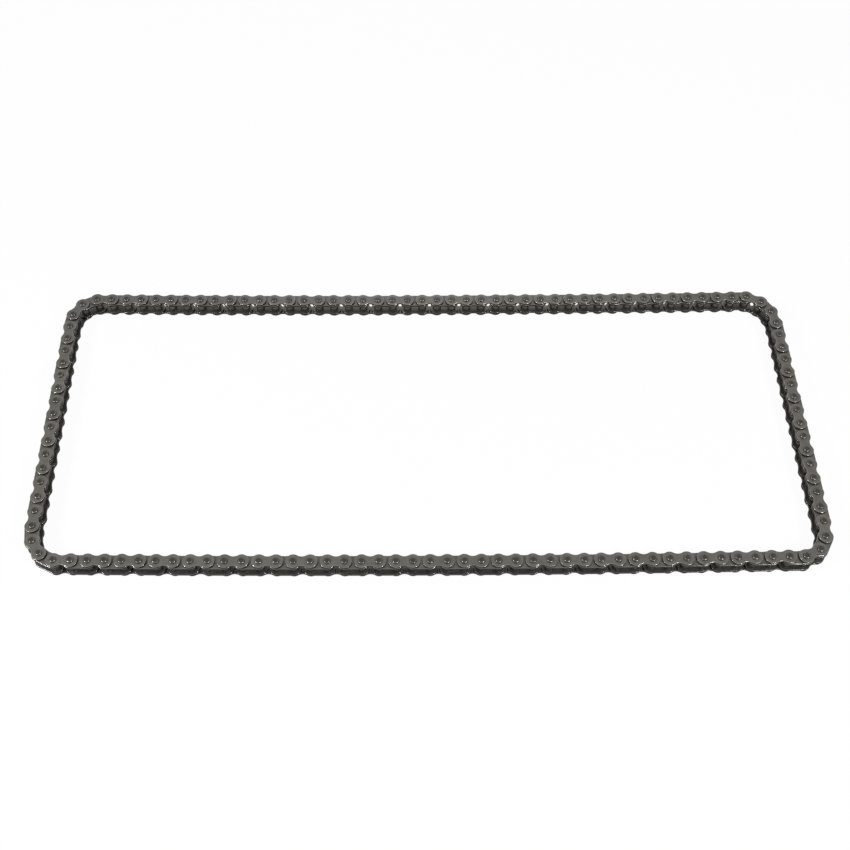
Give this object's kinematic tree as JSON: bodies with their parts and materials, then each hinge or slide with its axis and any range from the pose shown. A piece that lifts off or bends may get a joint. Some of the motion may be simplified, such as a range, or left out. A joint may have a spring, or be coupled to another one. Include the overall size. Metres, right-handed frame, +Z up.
{
  "type": "timing chain",
  "caption": "Endless single-row bush chain of riveted steel links, laid flat as a rounded rectangle; runs over sprockets to drive a camshaft.",
  "frame": {"origin": "below the middle of the loop, in the plane of the lower pin ends that the chain lies on", "axes": "+X along the long strands, +Y towards the back strand, +Z up along the pins"},
  "size_m": [0.4592, 0.197, 0.0132],
  "materials": {
    "outer_plates": "smooth punched steel, slightly oily",
    "inner_plates": "smooth punched steel, slightly oily",
    "bushes": "ground steel, oiled",
    "pins": "case-hardened steel with riveted ends"
  },
  "bodies": {
    "back_left_corner": {"back_left_corner_outer_plates": "outer_plates", "back_left_corner_inner_plates": "inner_plates", "back_left_corner_bushes": "bushes", "back_left_corner_pins": "pins"},
    "back_left_run": {"back_left_run_outer_plates": "outer_plates", "back_left_run_inner_plates": "inner_plates", "back_left_run_bushes": "bushes", "back_left_run_pins": "pins"},
    "back_middle_run": {"back_middle_run_outer_plates": "outer_plates", "back_middle_run_inner_plates": "inner_plates", "back_middle_run_bushes": "bushes", "back_middle_run_pins": "pins"},
    "back_right_run": {"back_right_run_outer_plates": "outer_plates", "back_right_run_inner_plates": "inner_plates", "back_right_run_bushes": "bushes", "back_right_run_pins": "pins"},
    "back_right_corner": {"back_right_corner_outer_plates": "outer_plates", "back_right_corner_inner_plates": "inner_plates", "back_right_corner_bushes": "bushes", "back_right_corner_pins": "pins"},
    "right_side_back": {"right_side_back_outer_plates": "outer_plates", "right_side_back_inner_plates": "inner_plates", "right_side_back_bushes": "bushes", "right_side_back_pins": "pins"},
    "right_side_front": {"right_side_front_outer_plates": "outer_plates", "right_side_front_inner_plates": "inner_plates", "right_side_front_bushes": "bushes", "right_side_front_pins": "pins"},
    "front_right_corner": {"front_right_corner_outer_plates": "outer_plates", "front_right_corner_inner_plates": "inner_plates", "front_right_corner_bushes": "bushes", "front_right_corner_pins": "pins"},
    "front_right_run": {"front_right_run_outer_plates": "outer_plates", "front_right_run_inner_plates": "inner_plates", "front_right_run_bushes": "bushes", "front_right_run_pins": "pins"},
    "front_middle_run": {"front_middle_run_outer_plates": "outer_plates", "front_middle_run_inner_plates": "inner_plates", "front_middle_run_bushes": "bushes", "front_middle_run_pins": "pins"},
    "front_left_run": {"front_left_run_outer_plates": "outer_plates", "front_left_run_inner_plates": "inner_plates", "front_left_run_bushes": "bushes", "front_left_run_pins": "pins"},
    "front_left_corner": {"front_left_corner_outer_plates": "outer_plates", "front_left_corner_inner_plates": "inner_plates", "front_left_corner_bushes": "bushes", "front_left_corner_pins": "pins"},
    "left_side_front": {"left_side_front_outer_plates": "outer_plates", "left_side_front_inner_plates": "inner_plates", "left_side_front_bushes": "bushes", "left_side_front_pins": "pins"},
    "left_side_back": {"left_side_back_outer_plates": "outer_plates", "left_side_back_inner_plates": "inner_plates", "left_side_back_bushes": "bushes", "left_side_back_pins": "pins"}
  },
  "joints": [
    {"name": "back_right_run_swing", "type": "hinge", "parent": "back_middle_run", "child": "back_right_run", "pos_m": [0.03633, 0.09233, 0], "axis": [0, 0, 1], "range_deg": [-90, 90]},
    {"name": "back_right_corner_pivot", "type": "hinge", "parent": "back_right_run", "child": "back_right_corner", "pos_m": [0.15062, 0.0932, 0], "axis": [0, 0, 1], "range_deg": [-90, 90]},
    {"name": "side_squeeze", "type": "hinge", "parent": "back_right_corner", "child": "right_side_back", "pos_m": [0.22319, 0.07248, 0], "axis": [0, 0, 1], "range_deg": [-54, 54]},
    {"name": "right_side_middle_pivot", "type": "hinge", "parent": "right_side_back", "child": "right_side_front", "pos_m": [0.22412, 0.00582, 0], "axis": [0, 0, 1], "range_deg": [-108, 108]},
    {"name": "front_right_corner_pivot", "type": "hinge", "parent": "right_side_front", "child": "front_right_corner", "pos_m": [0.22505, -0.06085, 0], "axis": [0, 0, 1], "range_deg": [-54, 54]},
    {"name": "front_right_run_pivot", "type": "hinge", "parent": "front_right_corner", "child": "front_right_run", "pos_m": [0.15417, -0.0931, 0], "axis": [0, 0, 1], "range_deg": [-90, 90]},
    {"name": "front_middle_run_pivot", "type": "hinge", "parent": "front_right_run", "child": "front_middle_run", "pos_m": [0.03987, -0.09397, 0], "axis": [0, 0, 1], "range_deg": [-90, 90]},
    {"name": "back_left_run_swing", "type": "hinge", "parent": "back_middle_run", "child": "back_left_run", "pos_m": [-0.03987, 0.09233, 0], "axis": [0, 0, 1], "range_deg": [-90, 90]},
    {"name": "back_left_corner_pivot", "type": "hinge", "parent": "back_left_run", "child": "back_left_corner", "pos_m": [-0.15417, 0.0932, 0], "axis": [0, 0, 1], "range_deg": [-90, 90]},
    {"name": "left_side_back_pivot", "type": "hinge", "parent": "back_left_corner", "child": "left_side_back", "pos_m": [-0.22518, 0.07213, 0], "axis": [0, 0, 1], "range_deg": [-54, 54]},
    {"name": "left_side_middle_pivot", "type": "hinge", "parent": "left_side_back", "child": "left_side_front", "pos_m": [-0.22425, 0.00546, 0], "axis": [0, 0, 1], "range_deg": [-108, 108]},
    {"name": "front_left_corner_pivot", "type": "hinge", "parent": "left_side_front", "child": "front_left_corner", "pos_m": [-0.22332, -0.06121, 0], "axis": [0, 0, 1], "range_deg": [-54, 54]},
    {"name": "front_left_run_pivot", "type": "hinge", "parent": "front_left_corner", "child": "front_left_run", "pos_m": [-0.15062, -0.0931, 0], "axis": [0, 0, 1], "range_deg": [-90, 90]}
  ],
  "couplings": [
    {"joint": "back_right_corner_pivot", "follows": "back_right_run_swing", "ratio": -1},
    {"joint": "right_side_middle_pivot", "follows": "side_squeeze", "ratio": -2},
    {"joint": "front_right_corner_pivot", "follows": "side_squeeze", "ratio": 1},
    {"joint": "front_right_run_pivot", "follows": "back_right_run_swing", "ratio": 1},
    {"joint": "front_middle_run_pivot", "follows": "back_right_run_swing", "ratio": -1},
    {"joint": "back_left_corner_pivot", "follows": "back_left_run_swing", "ratio": -1},
    {"joint": "left_side_back_pivot", "follows": "side_squeeze", "ratio": -1},
    {"joint": "left_side_middle_pivot", "follows": "side_squeeze", "ratio": 2},
    {"joint": "front_left_corner_pivot", "follows": "side_squeeze", "ratio": -1},
    {"joint": "front_left_run_pivot", "follows": "back_left_run_swing", "ratio": 1}
  ]
}
